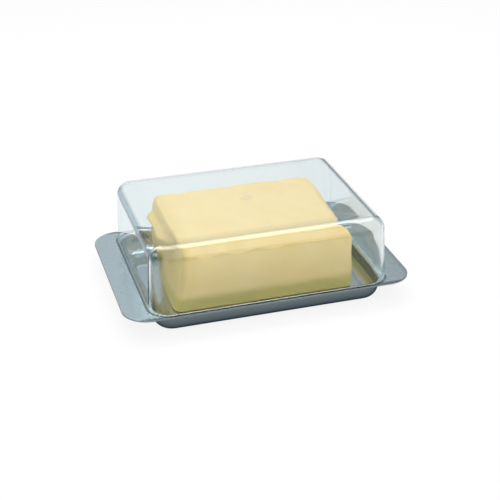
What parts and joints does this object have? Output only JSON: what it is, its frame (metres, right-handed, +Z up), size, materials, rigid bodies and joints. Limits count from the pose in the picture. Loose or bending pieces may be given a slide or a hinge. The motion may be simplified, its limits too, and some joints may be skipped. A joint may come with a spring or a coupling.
{
  "type": "butter dish",
  "caption": "Low rectangular metal butter tray with end grips, a clear lift-off hood that sits in a shallow seat round the pan, and a block of butter inside.",
  "frame": {"origin": "on the table, under the middle of the tray", "axes": "+Z up, +X along the dish from one grip to the other, -Y towards the viewer in the picture"},
  "size_m": [0.1578, 0.1054, 0.0481],
  "materials": {
    "steel": "satin stamped stainless steel, bright inside the pan",
    "clear_plastic": "clear polished moulded plastic, faintly blue",
    "butter": "soft waxy cream yellow butter"
  },
  "bodies": {
    "tray": {"tray": "steel"},
    "hood": {"hood": "clear_plastic"},
    "butter": {"butter_block": "butter"}
  },
  "joints": [
    {"name": "hood_lift", "type": "slide", "parent": "tray", "child": "hood", "axis": [0, 0, 1], "range_m": [0, 0.1]},
    {"name": "butter_slide", "type": "slide", "parent": "tray", "child": "butter", "axis": [1, 0, 0], "range_m": [-0.0085, 0.006]}
  ]
}
